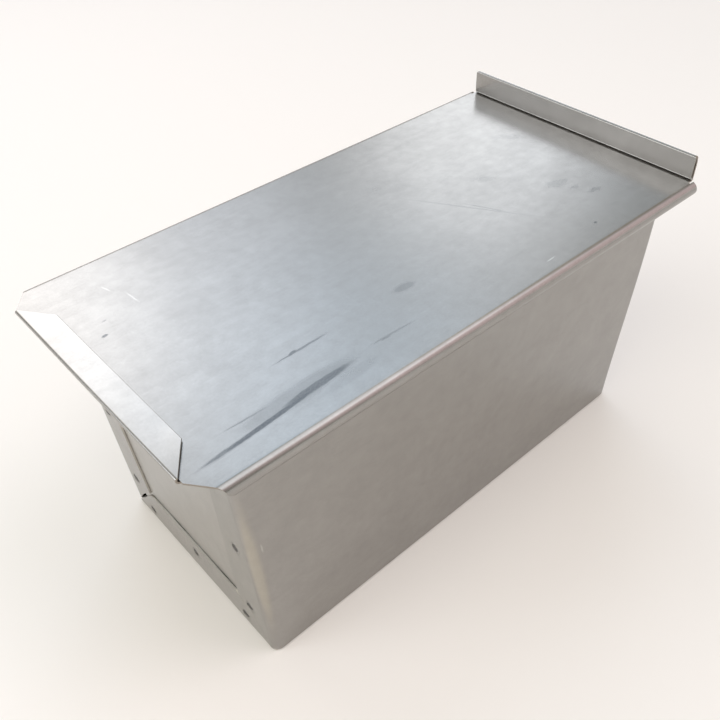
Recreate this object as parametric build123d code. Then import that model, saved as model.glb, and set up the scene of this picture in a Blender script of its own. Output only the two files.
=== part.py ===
from build123d import *
import os
from math import atan, cos

os.makedirs("parts", exist_ok=True)

# A loaf pan of folded aluminised sheet with a lid that slides on and bakes the loaf square.
# All sizes are in millimetres. +X runs along the pan, away from the lip that holds the lid's front
# edge, +Y runs across it and +Z is up. The origin is the middle of the flat underside.
# A profile's own two axes are the pan's X and Z, or its Y and Z, as its plane says.

# Driving sizes

sheet = 0.6                  # thickness of the sheet that every piece is folded from
seam_gap = 0.05              # space between two sheets that are welded flat together
slide_gap = 0.2              # free space all round the lid where it slides

base_length = 175.2          # outside of the pan at its underside
base_width = 85.4
rim_length = 188.0           # outside of its leaning walls, carried up to the top of the rails
rim_width = 88.6
pan_height = 99.2            # underside to the top of the rails
fold_radius = 2.0            # outside of the folds round the pan's upright corners
floor_radius = 1.8           # outside of the folds along the floor's edges
rim_bend = 1.0               # inside of the bends that turn the sheet outward at the rim

rail_overrun = 3.0           # how far the rails run past the end walls
bead_turn = 270              # degrees that the rail's edge is curled round

side_tab_low = 15.0          # width of an upright end tab at its foot
side_tab_high = 12.0         # and where its edge would reach the rail's height
side_tab_drop = 7.2          # top of an upright tab, below the top of the rails
floor_tab_height = 17.8      # height of the tab that is folded up from the floor
slit_width = 1.2             # slit between two tabs at its inner end
slit_mouth = 2.0             # and at the pan's corner
corner_notch = 2.6           # how far the slit reaches under the floor and along the wall

lip_reach = 12.0             # outside of the near wall to the front of its folded lip
lip_width = 8.4              # the lip, from its front fold to its free edge
lip_inset = 1.2              # ends of the lip's fold, in from the outside of the long walls
lip_mitre = 10.1             # its free edge is this much shorter again at each end
far_rim_reach = 3.9          # outside of the far wall to the edge of its turned-out rim
far_rim_hem = 2.6            # how much of that rim's edge is folded back under it
hem_gap = 0.15               # space inside a flattened hem

roll_reach = 8.7             # outside of a long wall to the outside of the lid's rolled edge
roll_radius = 2.6            # outside of a rolled edge
roll_turn = 215              # degrees that it is curled round
roll_far_reach = 4.5         # far end of the rolls, past the outside of the far wall
roll_setback = 6.75          # start of the rolls, behind the lid's front edge
roll_backcut = 3.3           # how much later still the lower half of a roll starts
corner_cut = 8.6             # how far in from there the lid's two front corners are cut off
strip_inset = 0.3            # ends of the pull strip, in from the centre lines of the rolls
strip_height = 8.95          # above the lid's top
strip_reach = 4.4            # its face that looks along the lid, past the outside of the far wall
strip_bend = 0.9             # inside of the bend at its foot
strip_corner = 1.0           # rounding of its two top corners
strip_ply_setback = 0.9      # the hem's front layer is this much shorter at each end
strip_foot_gap = 0.9         # open groove between the hem's free edge and the lid
notch_width = 0.8            # relief notch between the strip and a roll
notch_depth = 1.4

weld_radius = 2.15           # mark of the welding electrode
weld_dent = 0.12             # how deep the electrode sinks the sheet on each side
weld_gap = 0.02              # keeps a nugget's wall off the two sheets around it
side_weld_inset = 7.6        # centre of an upright tab's welds, from the side wall's outside
side_weld_low = 18.0         # height of the lowest of them
side_weld_drop = 4.6         # the highest of them, below the top of the tab
side_weld_count = 3
floor_weld_middle = 9.0      # height of the weld in the middle of the floor's tab
floor_weld_end = 5.0         # height of the two near its ends
floor_weld_inset = 14.8      # how far in those two are from the side wall's outside

overrun = 5.0                # how far a cut runs past what it cuts

# Sizes that follow from them

end_slope = (rim_length - base_length) / 2 / pan_height
side_slope = (rim_width - base_width) / 2 / pan_height
rim_middle = pan_height - sheet / 2                # middle of the sheet in a turned-out rim
rim_bend_level = pan_height - sheet - rim_bend     # where the walls start to turn outward
tab_top = pan_height - side_tab_drop
lid_under = pan_height + slide_gap
lid_top = lid_under + sheet
lid_middle = lid_under + sheet / 2
lid_width = rim_width + 2 * roll_reach             # over both rolled edges
tongue_width = lid_width - 2 * corner_cut          # the lid's front edge between its cut corners
roll_y = lid_width / 2 - roll_radius               # centre line of a roll and of the bead in it
roll_z = lid_top - roll_radius
roll_far = rim_length / 2 + roll_far_reach
strip_front = rim_length / 2 + strip_reach
strip_length = 2 * (roll_y - strip_inset)
bead_radius = roll_radius - sheet - slide_gap
slot_radius = sheet / 2 + slide_gap                # inside of the fold that the lid's edge enters
lip_front = rim_length / 2 + lip_reach
lip_fold_x = lip_front - slot_radius - sheet       # centre line of that fold
lip_length = rim_width - 2 * lip_inset
lip_edge_length = lip_length - 2 * lip_mitre
panel_inset = sheet + seam_gap                     # from the outside of a tab to the end panel


def half_length(height, inset=0):
    """Half the pan's length at a height, measured to a sheet that lies inset inside the end's face."""
    return base_length / 2 + end_slope * height - inset / cos(atan(end_slope))


def half_width(height, inset=0):
    """The same across the pan."""
    return base_width / 2 + side_slope * height - inset / cos(atan(side_slope))


def tapered_block(inset, low, high):
    """The pan's outer form as a solid, drawn in by inset, with its folds rounded to match."""
    from_side = Polygon(
        (-half_length(low, inset), low),
        (half_length(low, inset), low),
        (half_length(high, inset), high),
        (-half_length(high, inset), high),
        align=None,
    )
    from_end = Polygon(
        (-half_width(low, inset), low),
        (half_width(low, inset), low),
        (half_width(high, inset), high),
        (-half_width(high, inset), high),
        align=None,
    )
    block = extrude(Plane.XZ * from_side, amount=rim_width, both=True)
    block &= extrude(Plane.YZ * from_end, amount=rim_length, both=True)
    upright = block.edges().filter_by(lambda edge: edge.bounding_box().size.Z > (high - low) / 2)
    block = fillet(upright, fold_radius - inset)
    floor_edges = block.faces().sort_by(Axis.Z)[0].edges()
    return fillet(floor_edges, floor_radius - inset)


def both_ends(solid):
    return solid + mirror(solid, about=Plane.YZ)


def both_sides(solid):
    return solid + mirror(solid, about=Plane.XZ)


def weld_places():
    """Where the electrodes met one end wall: (y, z) up both upright tabs and along the floor's."""
    places = []
    pitch = (tab_top - side_weld_drop - side_weld_low) / (side_weld_count - 1)
    for row in range(side_weld_count):
        height = side_weld_low + row * pitch
        for side in (-1, 1):
            places.append((side * (half_width(height) - side_weld_inset), height))
    places.append((0, floor_weld_middle))
    for side in (-1, 1):
        places.append((side * (half_width(floor_weld_end) - floor_weld_inset), floor_weld_end))
    return places


def weld_rods(end, radius, outer, inner):
    """Round bars square to an end wall, one at each weld, from outer to inner below its outside."""
    rods = []
    for y, height in weld_places():
        face = Plane(
            origin=(end * half_length(height), y, height), z_dir=(end, 0, -end_slope)
        )
        rods.append(extrude(face.offset(-inner) * Circle(radius), amount=inner - outer))
    return rods


def weld_holes(end):
    return weld_rods(end, weld_radius + weld_gap, -overrun, panel_inset + sheet + overrun)


def end_window():
    """What is open in the far end wall of the folded sheet: the space between its three tabs, and
    the two slits that run from there to the pan's lower corners."""
    foot_y = half_width(floor_tab_height) - side_tab_low
    head_y = half_width(pan_height) - side_tab_high
    window = Polygon(
        (-foot_y, floor_tab_height),
        (foot_y, floor_tab_height),
        (head_y, pan_height),
        (-head_y, pan_height),
        align=None,
    )
    start = Vector(foot_y, floor_tab_height)
    corner = Vector(half_width(0), 0)
    run = (corner - start).normalized()
    across = Vector(-run.Y, run.X)
    slit_points = [
        start - run * slit_width + across * slit_width / 2,
        start - run * slit_width - across * slit_width / 2,
        corner + run * overrun - across * slit_mouth / 2,
        corner + run * overrun + across * slit_mouth / 2,
    ]
    slit = make_face(Polyline(slit_points, close=True))
    outline = window + slit + mirror(slit, about=Plane.YZ)
    inner_face = Plane.YZ.offset(half_length(0) - corner_notch)
    depth = half_length(pan_height) - half_length(0) + corner_notch + overrun
    return extrude(inner_face * outline, amount=depth, dir=(1, 0, 0))


def past_wall_ends(low, high):
    """The space beyond both ends of a long wall between two levels. Above the upright tabs the wall
    simply ends where its corner fold would begin."""
    outside = rim_length / 2 + rail_overrun + overrun
    outline = Polygon(
        (half_length(low, fold_radius), low),
        (half_length(high, fold_radius), high),
        (outside, high),
        (outside, low),
        align=None,
    )
    return both_ends(extrude(Plane.XZ * outline, amount=rim_width / 2 + overrun, both=True))


def rail():
    """The long rim on the +Y side: the wall turned outward, its edge curled under into a bead."""
    foot = rim_bend_level - overrun
    path = FilletPolyline(
        (half_width(foot, sheet / 2), foot),
        (half_width(rim_middle, sheet / 2), rim_middle),
        (roll_y, rim_middle),
        radius=rim_bend + sheet / 2,
    )
    bead = CenterArc((roll_y, roll_z), bead_radius - sheet / 2, 90, -bead_turn)
    profile = trace(path + bead, line_width=sheet)
    whole = extrude(Plane.YZ * profile, amount=rim_length / 2 + rail_overrun, both=True)
    return whole - past_wall_ends(foot - overrun, rim_bend_level)


def folded_trough():
    """One sheet: the floor, the two long walls with their rails, and three tabs round each end."""
    top = pan_height + overrun
    walls = tapered_block(0, 0, pan_height) - tapered_block(sheet, sheet, top)
    walls -= Pos(0, 0, rim_bend_level) * Box(
        rim_length + overrun, rim_width + overrun, top, align=(Align.CENTER, Align.CENTER, Align.MIN)
    )
    walls -= past_wall_ends(tab_top, top)
    walls -= both_ends(end_window())
    for end in (-1, 1):
        walls -= weld_holes(end)
    return walls + both_sides(rail())


def end_panel(end, profile, plan):
    """A separate end wall inside the tabs. The profile is its sheet seen from the side; plan trims
    what is turned out at the rim, and the trough's inside trims the wall itself."""
    sheet_form = extrude(Plane.XZ * profile, amount=rim_width / 2, both=True)
    wall_room = tapered_block(sheet + seam_gap / 2, sheet + seam_gap / 2, rim_bend_level)
    rim_room = extrude(Plane.XY.offset(rim_bend_level) * plan, amount=overrun)
    panel = (sheet_form & wall_room) + (sheet_form & rim_room)
    return panel - weld_holes(end)


def near_end_panel():
    """The end wall that holds the lid: its rim is folded back over itself as a lip, with a slot."""
    middle = panel_inset + sheet / 2
    path = FilletPolyline(
        (-half_length(0, middle), 0),
        (-half_length(rim_middle, middle), rim_middle),
        (-lip_fold_x, rim_middle),
        radius=rim_bend + sheet / 2,
    )
    slot_middle = pan_height + slot_radius
    fold = CenterArc((-lip_fold_x, slot_middle), slot_radius + sheet / 2, -90, -180)
    lip_middle = slot_middle + slot_radius + sheet / 2
    lip = Line((-lip_fold_x, lip_middle), (-lip_front + lip_width, lip_middle))
    profile = trace(path + fold + lip, line_width=sheet)
    plan = Rectangle(2 * lip_front, lip_length)
    panel = end_panel(-1, profile, plan)
    # The lip's ends are mitred back from the fold to its free edge.
    mitre = Polygon(
        (-lip_front, lip_length / 2),
        (-lip_front + lip_width, lip_edge_length / 2),
        (-lip_front + lip_width, lip_length / 2),
        align=None,
    )
    trim = extrude(Plane.XY.offset(slot_middle) * mitre, amount=overrun)
    return panel - both_sides(trim)


def far_end_panel():
    """The other end wall: its rim is only turned out a little and hemmed under, clear of the lid."""
    middle = panel_inset + sheet / 2
    hem_radius = (hem_gap + sheet) / 2
    hem_x = rim_length / 2 + far_rim_reach - hem_radius - sheet / 2
    path = FilletPolyline(
        (half_length(0, middle), 0),
        (half_length(rim_middle, middle), rim_middle),
        (hem_x, rim_middle),
        radius=rim_bend + sheet / 2,
    )
    fold = CenterArc((hem_x, rim_middle - hem_radius), hem_radius, 90, -180)
    under = Line(
        (hem_x, rim_middle - 2 * hem_radius),
        (rim_length / 2 + far_rim_reach - far_rim_hem, rim_middle - 2 * hem_radius),
    )
    profile = trace(path + fold + under, line_width=sheet)
    return end_panel(1, profile, Rectangle(2 * lip_front, lip_length))


def pull_strip():
    """The lid's far end, bent up and hemmed back toward the lid so that no raw edge is on top."""
    hem_radius = (hem_gap + sheet) / 2
    back_x = strip_front + sheet / 2 + 2 * hem_radius
    hem_level = lid_top + strip_height - hem_radius - sheet / 2
    path = FilletPolyline(
        (back_x - strip_bend - sheet - notch_depth - overrun, lid_middle),
        (back_x, lid_middle),
        (back_x, hem_level),
        radius=strip_bend + sheet / 2,
    )
    hem = CenterArc((back_x - hem_radius, hem_level), hem_radius, 0, 180)
    front = Line(
        (back_x - 2 * hem_radius, hem_level), (back_x - 2 * hem_radius, lid_top + strip_foot_gap)
    )
    strip = extrude(
        Plane.XZ * trace(path + hem + front, line_width=sheet), amount=strip_length / 2, both=True
    )
    # The front layer is cut short at both ends, and the top corners are rounded off.
    ply_end = Pos(strip_front - overrun, strip_length / 2 - strip_ply_setback, lid_top) * Box(
        overrun + sheet + hem_gap / 2,
        overrun,
        strip_height - hem_radius - sheet / 2,
        align=(Align.MIN, Align.MIN, Align.MIN),
    )
    strip -= both_sides(ply_end)
    outline = Rectangle(strip_length, 2 * strip_height)
    outline = fillet(outline.vertices(), strip_corner)
    room = extrude(Plane.YZ.offset(strip_front - overrun) * (Pos(0, lid_top) * outline), amount=2 * overrun)
    flat = Pos(strip_front, 0, lid_under) * Box(
        4 * overrun, strip_length, sheet, align=(Align.MAX, Align.CENTER, Align.MIN)
    )
    return (strip & room) + (strip & flat)


def sliding_lid():
    """One sheet: a flat top, both long edges rolled under to grip the rails, two cut corners in
    front that go under the lip, and the pull strip."""
    front_x = -lip_fold_x
    edge = Line((0, lid_middle), (roll_y, lid_middle))
    roll = CenterArc((roll_y, roll_z), roll_radius - sheet / 2, 90, -roll_turn)
    half = trace(edge + roll, line_width=sheet)
    profile = half + mirror(half, about=Plane.YZ)
    lid = extrude(Plane.YZ.offset(front_x) * profile, amount=roll_far - front_x, dir=(1, 0, 0))
    # The front corners are cut off in a slant from the front edge to the outside of the rolls.
    corner = Vector(front_x, tongue_width / 2)
    roll_start = Vector(front_x + roll_setback, lid_width / 2)
    slant = roll_start - corner
    before = corner - slant
    beyond = roll_start + slant
    cut = Polygon((before.X, before.Y), (beyond.X, beyond.Y), (before.X, beyond.Y), align=None)
    lid -= both_sides(extrude(Plane.XY * cut, amount=lid_top + overrun))
    # The lower half of each roll starts further back still.
    low = roll_z - roll_radius
    backcut = Polygon(
        (front_x - overrun, roll_z),
        (roll_start.X, roll_z),
        (roll_start.X + roll_backcut, low),
        (roll_start.X + roll_backcut, low - overrun),
        (front_x - overrun, low - overrun),
        align=None,
    )
    lid -= extrude(Plane.XZ * backcut, amount=lid_width, both=True)
    # Between the rolls the sheet ends in the pull strip, with a notch on each side of it.
    notch_root = strip_front - strip_bend - notch_depth
    lid -= Pos(notch_root, 0, lid_under - overrun) * Box(
        2 * overrun,
        strip_length + 2 * notch_width,
        2 * overrun,
        align=(Align.MIN, Align.CENTER, Align.MIN),
    )
    return lid + pull_strip()


def spot_welds(end):
    """The nuggets of fused sheet that hold an end panel to the tabs, dented by the electrodes."""
    inner = panel_inset + sheet - weld_dent
    return Compound(children=weld_rods(end, weld_radius, weld_dent, inner))


pieces = {
    "folded_trough": folded_trough(),
    "near_end_panel": near_end_panel(),
    "far_end_panel": far_end_panel(),
    "near_end_spot_welds": spot_welds(-1),
    "far_end_spot_welds": spot_welds(1),
    "sliding_lid": sliding_lid(),
}

for name, piece in pieces.items():
    export_step(piece, os.path.join("parts", name + ".step"))
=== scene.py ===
import math

import bmesh
import bpy
from bpy.props import FloatProperty, FloatVectorProperty, PointerProperty
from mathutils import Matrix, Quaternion, Vector, noise


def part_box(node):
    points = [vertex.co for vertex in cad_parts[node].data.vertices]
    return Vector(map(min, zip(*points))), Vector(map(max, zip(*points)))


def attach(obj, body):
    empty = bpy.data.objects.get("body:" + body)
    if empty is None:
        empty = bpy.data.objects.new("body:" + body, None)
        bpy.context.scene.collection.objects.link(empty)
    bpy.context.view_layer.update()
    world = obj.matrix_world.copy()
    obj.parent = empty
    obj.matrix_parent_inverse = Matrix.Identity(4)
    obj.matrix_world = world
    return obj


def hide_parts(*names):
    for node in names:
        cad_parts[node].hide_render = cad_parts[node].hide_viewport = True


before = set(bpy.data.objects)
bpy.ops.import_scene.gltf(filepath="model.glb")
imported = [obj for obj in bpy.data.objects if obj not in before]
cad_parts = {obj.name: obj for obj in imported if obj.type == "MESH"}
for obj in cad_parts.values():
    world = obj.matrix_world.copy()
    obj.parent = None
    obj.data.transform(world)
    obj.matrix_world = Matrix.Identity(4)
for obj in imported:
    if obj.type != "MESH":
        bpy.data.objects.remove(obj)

bl_info = {
    "name": "Lidded Loaf Pan",
    "version": (1, 0, 0),
    "blender": (4, 5, 0),
    "location": "View3D > Sidebar > Loaf Pan",
    "description": "Folds a loaf pan and its sliding lid out of sheet, and sets up a plain studio",
    "category": "Object",
}

MM = 0.001

# The pan lies along X with its lip towards -X. Every piece of sheet is laid out on the middle of its
# thickness and then given its thickness, so a profile here runs along the sheet's middle.

TROUGH_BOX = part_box("folded_trough")
LID_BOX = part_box("sliding_lid")
NEAR_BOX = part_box("near_end_panel")
FAR_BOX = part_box("far_end_panel")


def linear(hex_colour):
    """An sRGB colour as #RRGGBB, turned to the linear values that the shaders work in."""
    channels = [int(hex_colour[i:i + 2], 16) / 255 for i in (1, 3, 5)]
    return tuple(
        c / 12.92 if c <= 0.04045 else ((c + 0.055) / 1.055) ** 2.4 for c in channels
    )


def length(name, description, default):
    """A length property. Its default is given in millimetres."""
    return FloatProperty(name=name, description=description, default=default * MM, unit="LENGTH")


def in_mm(value):
    """A measure of the frame in millimetres, for a property's default."""
    return value / MM


def colour(name, description, default):
    return FloatVectorProperty(
        name=name, description=description, subtype="COLOR", default=linear(default)
    )


class PanSizes(bpy.types.PropertyGroup):
    """Sizes of the sheet, the trough and its end panels."""

    sheet: length("Sheet", "Thickness of the sheet", 0.6)
    seam_gap: length("Seam gap", "Space between sheets that are welded flat together", 0.05)
    slide_gap: length("Slide gap", "Free space round the lid", 0.2)
    pan_height: length("Height", "Underside to the top of the rails", in_mm(TROUGH_BOX[1].z))
    base_length: length("Base length", "Outside at the underside", 175.2)
    base_width: length("Base width", "Outside at the underside", 85.4)
    rail_overrun: length("Rail overrun", "Rails past the end walls", 3.0)
    rail_end: length("Rail end", "End of a rail, from the middle", in_mm(TROUGH_BOX[1].x))
    rim_width: length("Rim width", "Outside of the walls at the rails' top", 88.6)
    fold_radius: length("Fold radius", "Outside of the upright folds", 3.0)
    floor_radius: length("Floor radius", "Outside of the folds along the floor", 1.0)
    rim_bend: length("Rim bend", "Inside of the bends at the rim", 1.0)
    side_tab_low: length("Tab foot width", "Width of an upright tab at its foot", 16.2)
    side_tab_high: length("Tab head width", "Its width carried up to the rail", 12.0)
    side_tab_drop: length("Tab drop", "Top of an upright tab below the rail", 7.2)
    floor_tab_height: length("Floor tab height", "Height of the tab folded up", 17.6)
    floor_tab_corner: length("Floor tab corner", "Rounding of its upper corners", 1.8)
    slit_width: length("Slit width", "Slit between two tabs at its inner end", 0.7)
    slit_mouth: length("Slit mouth", "The same slit at the pan's corner", 0.5)
    slit_bulge: length("Slit bulge", "How much further it gapes between the two", 1.1)
    lip_width: length("Lip width", "Front fold to the lip's free edge", 8.4)
    lip_inset: length("Lip inset", "Lip's ends in from the rim's side", 1.2)
    lip_mitre: length("Lip mitre", "Free edge shorter by this at each end", 10.1)
    far_rim_hem: length("Far rim hem", "Edge folded back under the far rim", 2.6)
    hem_gap: length("Hem gap", "Space inside a flattened hem", 0.15)
    edge_break: length("Edge break", "Rounding of the sheet's cut edges", 0.25)


class LidSizes(bpy.types.PropertyGroup):
    """Sizes of the sliding lid."""

    roll_radius: length("Roll radius", "Outside of a rolled edge", 2.6)
    roll_far: length("Roll end", "Far end of the rolls, from the middle", 98.5)
    roll_setback: length("Roll setback", "Start of the rolls behind the front edge", 6.75)
    roll_backcut: length("Roll backcut", "Lower half of a roll starts later", 3.3)
    corner_cut: length("Corner cut", "Front corners cut in from the sides", 8.6)
    strip_inset: length("Strip inset", "Strip's ends in from the rolls' middle", 0.3)
    strip_corner: length("Strip corner", "Rounding of the strip's top corners", 1.0)
    strip_bend: length("Strip bend", "Inside of the bend at its foot", 0.4)
    ply_setback: length("Ply setback", "Hem's front layer shorter at each end", 0.25)
    foot_gap: length("Foot gap", "Groove between the hem's edge and the lid", 0.75)
    ply_tuck: length("Ply tuck", "Hem's edge pressed back towards the strip", 0.12)
    notch_width: length("Notch width", "Notch between the strip and a roll", 0.8)
    notch_depth: length("Notch depth", "Depth of that notch", 1.4)
    edge_break: length("Edge break", "Rounding of the lid's cut edges", 0.1)


class WeldSizes(bpy.types.PropertyGroup):
    """Sizes of the spot welds and where they sit."""

    mark_radius: length("Mark radius", "Mark of the welding electrode", 2.15)
    dent: length("Dent", "How deep the electrode sinks the sheet", 0.12)
    side_inset: length("Side inset", "Welds in from the side wall's outside", 7.6)
    side_low: length("Lowest weld", "Height of the lowest on an upright tab", 18.0)
    side_drop: length("Highest weld", "Below the top of the tab", 4.6)
    floor_middle: length("Middle weld", "Height of the floor tab's middle weld", 9.0)
    floor_end: length("End weld", "Height of the floor tab's end welds", 5.0)
    floor_inset: length("Floor inset", "End welds in from the side wall", 14.8)


class PanFinish(bpy.types.PropertyGroup):
    """Colours of the sheet, the weld marks and the studio floor."""

    sheet_light: colour("Sheet, light", "Clean rolled sheet", "#ABA9A6")
    sheet_dark: colour("Sheet, dark", "Duller clouds in its coating", "#908E8B")
    # Painted light: the end panels take a lighter copy of the same sheet, which brightens the end
    # walls.
    brightened_panel_light: colour("Panel, light", "The end panels' sheet, a little cleaner", "#B8B6B3")
    brightened_panel_dark: colour("Panel, dark", "Duller clouds in its coating", "#9D9B98")
    # Cut edges of the lid and panels: bare steel, made darker as a painted shade line along them.
    cut_edge: colour("Cut edge", "Bare steel where the sheet was cut", "#968F86")
    # Cut edges of the trough, painted lighter than the sheet: a painted highlight along them.
    highlit_cut_edge: colour("Bright edge", "The same, scoured by folding and washing", "#DAD7D2")
    # A painted highlight: the pale band where a fold's curve catches the light, laid on as colour.
    fold_highlight: colour("Rubbed fold", "Coating rubbed thin and yellowish on a fold", "#CFC7B2")
    scratch: colour("Scratch", "Fresh bright scratches", "#D2D0CC")
    scuff: colour("Scuff", "Dark rubbed marks on the lid", "#5B5F63")
    # Weld mark: burnt coating, darkened further as painted shade of the dent.
    weld: colour("Weld mark", "Sheet darkened by welding heat", "#453E35")
    floor: colour("Floor", "Studio floor", "#F6F3F1")


SHEET_CELL = 2.2 * MM          # side of the small faces that a flat stretch of sheet is laid in
ARC_STEPS = 8                  # faces in a quarter turn
TAB_STEPS = 8                  # rows of corners across an upright tab
PLY_STEPS = 9                  # rows down the front layer of the strip's hem
NOTCH_STEPS = 3                # rows from the notches' roots to the strip's bend
EDGE_STEPS = 4                 # faces round a cut edge
EDGE_ANGLE = 50                # degrees past which an edge counts as cut
SHEET_JOIN = 0.01 * MM         # corners of two patches nearer than this become one
WELD_JOIN = 0.003 * MM         # and corners of one weld
ROLL_TURN = 215                # degrees that the lid's edges are rolled round
BEAD_TURN = 270                # degrees that the rails' edges are curled round
SIDE_WELDS = 3                 # welds up each upright tab
# How far the near end's welds went astray, in millimetres across and up, in the order of their places.
NEAR_WELD_STRAYS = [
    (2.2, -1.2), (0.5, 0.6), (0, 0), (1, 1), (0, 0), (0, 0), (0, 1.3), (0, 0.6), (2.2, 0)
]
WELD_SIDES = 28                # faces round a weld


def spread(start, end, count):
    """Evenly spaced values from start to end, both included."""
    return [start + (end - start) * i / (count - 1) for i in range(count)]


def cells(start, end):
    """The same, spaced at about the sheet's cell size."""
    return spread(start, end, max(2, round(abs(end - start) / SHEET_CELL) + 1))


def mix(a, b, share):
    return a + (b - a) * share


def arc(centre, radius, start, end):
    """Points round an arc, its angles in degrees."""
    count = max(3, round(abs(end - start) / 90 * ARC_STEPS) + 1)
    turns = [math.radians(angle) for angle in spread(start, end, count)]
    return [(centre[0] + radius * math.cos(a), centre[1] + radius * math.sin(a)) for a in turns]


def swell(value, low, high):
    """A smooth step from 0 at low to 1 at high."""
    t = min(1, max(0, (value - low) / (high - low)))
    return t * t * (3 - 2 * t)


class PanForm:
    """The pan's planes, centre lines and profiles, worked out from its sizes."""

    def __init__(self, scene):
        pan, lid = scene.pan_sizes, scene.lid_sizes
        self.pan = pan
        self.lid = lid
        self.weld = scene.weld_sizes
        self.half_sheet = pan.sheet / 2
        self.rim_length = 2 * (pan.rail_end - pan.rail_overrun)
        self.end_slope = (self.rim_length - pan.base_length) / 2 / pan.pan_height
        self.side_slope = (pan.rim_width - pan.base_width) / 2 / pan.pan_height
        self.end_lean = math.atan(self.end_slope)
        self.side_lean = math.atan(self.side_slope)
        self.rim_middle = pan.pan_height - self.half_sheet
        self.rim_level = pan.pan_height - pan.sheet - pan.rim_bend
        self.rim_arc = pan.rim_bend + self.half_sheet
        self.tab_top = pan.pan_height - pan.side_tab_drop
        self.lid_middle = pan.pan_height + pan.slide_gap + self.half_sheet
        self.lid_top = self.lid_middle + self.half_sheet
        self.lid_half = LID_BOX[1].y
        self.roll_y = self.lid_half - lid.roll_radius
        self.roll_z = self.lid_top - lid.roll_radius
        self.roll_arc = lid.roll_radius - self.half_sheet
        self.bead_arc = self.roll_arc - pan.sheet - pan.slide_gap
        self.slot_arc = pan.slide_gap + pan.sheet
        self.lip_fold_x = -NEAR_BOX[0].x - self.slot_arc - self.half_sheet
        self.hem_arc = (pan.hem_gap + pan.sheet) / 2
        self.lip_half = pan.rim_width / 2 - pan.lip_inset

    def half_length(self, height, inset=0):
        return self.pan.base_length / 2 + self.end_slope * height - inset / math.cos(self.end_lean)

    def half_width(self, height, inset=0):
        return self.pan.base_width / 2 + self.side_slope * height - inset / math.cos(self.side_lean)

    def wall_end(self, height):
        """Half the length of a long wall, up to where its corner fold begins."""
        return self.half_length(height, self.pan.fold_radius)

    def weld_places(self, end):
        """Where the electrodes met an end wall: (y, z) up both upright tabs and along the floor's."""
        weld = self.weld
        places = []
        for height in spread(weld.side_low, self.tab_top - weld.side_drop, SIDE_WELDS):
            for side in (-1, 1):
                places.append((side * (self.half_width(height) - weld.side_inset), height))
        end_y = self.half_width(weld.floor_end) - weld.floor_inset
        places += [(0, weld.floor_middle), (-end_y, weld.floor_end), (end_y, weld.floor_end)]
        strays = NEAR_WELD_STRAYS if end < 0 else [(0, 0)] * len(places)
        return [(y + across * MM, z + up * MM) for (y, z), (across, up) in zip(places, strays)]


# Sheet work

BEND_SPAN = 55 * MM            # length over which the welded sheets wander in and out
BEND_DEPTH = 0.16 * MM
BEND_TOP = 12 * MM             # they start at the floor and wander fully from this height up
LID_BEND_SPAN = 48 * MM
LID_BEND_DEPTH = 0.07 * MM
# Where each piece of the noise is taken from, so that no two of them are alike.
ACROSS_NOISE = Vector((7.3, 1.9, 4.1))
LID_NOISE = Vector((3.7, 8.1, 0.4))
TAB_NOISE = 4.7
FLOOR_CROWN = 0.25 * MM        # the floor is lifted off the table a little between its folds
FOOT_SPLAY = Vector((-0.5, -0.7, 0)) * MM   # the near right-hand corner's foot stands out by this
FAR_BOW = 1.4 * MM             # the far wall is sprung out by this, most at two thirds of its height
BOW_SCALE = 27 / 4             # makes its curve, height squared times what is left above, reach 1


def pan_bend(point, form):
    """How far the pan's sheets have moved from true at a point. Sheets that lie against each other
    move alike."""
    place = point / BEND_SPAN
    push = Vector((noise.noise(place), noise.noise(place + ACROSS_NOISE), 0))
    push *= BEND_DEPTH * swell(point.z, 0, BEND_TOP)
    floor = 1 - swell(point.z, form.pan.sheet, 2 * form.pan.sheet)
    crown = (1 - (point.x / form.half_length(0)) ** 2) * (1 - (point.y / form.half_width(0)) ** 2)
    push.z = FLOOR_CROWN * floor * max(0, crown)
    nearness = (0.5 - point.x / (2 * form.half_length(0))) * (0.5 - point.y / (2 * form.half_width(0)))
    up = min(1, point.z / form.pan.pan_height)
    bow = BOW_SCALE * up ** 2 * (1 - up)
    push.x += FAR_BOW * swell(point.x, 0, form.half_length(0)) * bow
    return push + FOOT_SPLAY * max(0, nearness) * (1 - up)


def lid_bend(point, form):
    """The same for the lid's sheet."""
    return Vector((0, 0, LID_BEND_DEPTH * noise.noise(point / LID_BEND_SPAN + LID_NOISE)))


def lay_patch(mesh, rows):
    """Adds a patch of four-sided faces whose corners are given row by row."""
    grid = [[mesh.verts.new(point) for point in row] for row in rows]
    for first, second in zip(grid, grid[1:]):
        for a, b, c, d in zip(first, first[1:], second[1:], second):
            mesh.faces.new((a, b, c, d))


def sheet_piece(name, mesh, form, bend, materials, edge_break):
    """Joins the patches, bends them from true and gives them the sheet's thickness and broken
    edges. Its faces take the first material and its cut edges the second."""
    bmesh.ops.remove_doubles(mesh, verts=mesh.verts, dist=SHEET_JOIN)
    bmesh.ops.recalc_face_normals(mesh, faces=mesh.faces)
    for vertex in mesh.verts:
        vertex.co += bend(vertex.co, form)
    piece = new_object(name, mesh, materials)
    thicken = piece.modifiers.new("Thickness", "SOLIDIFY")
    thicken.material_offset_rim = 1
    thicken.thickness = form.pan.sheet
    thicken.offset = 0
    thicken.use_even_offset = True
    edges = piece.modifiers.new("Broken edges", "BEVEL")
    edges.width = edge_break
    edges.segments = EDGE_STEPS
    edges.material = 1
    edges.limit_method = "ANGLE"
    edges.angle_limit = math.radians(EDGE_ANGLE)
    keep_shape(piece)
    return piece


def new_object(name, mesh, materials=()):
    data = bpy.data.meshes.new(name)
    for material in materials:
        data.materials.append(material)
    mesh.to_mesh(data)
    mesh.free()
    piece = bpy.data.objects.new(name, data)
    bpy.context.scene.collection.objects.link(piece)
    return piece


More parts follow.
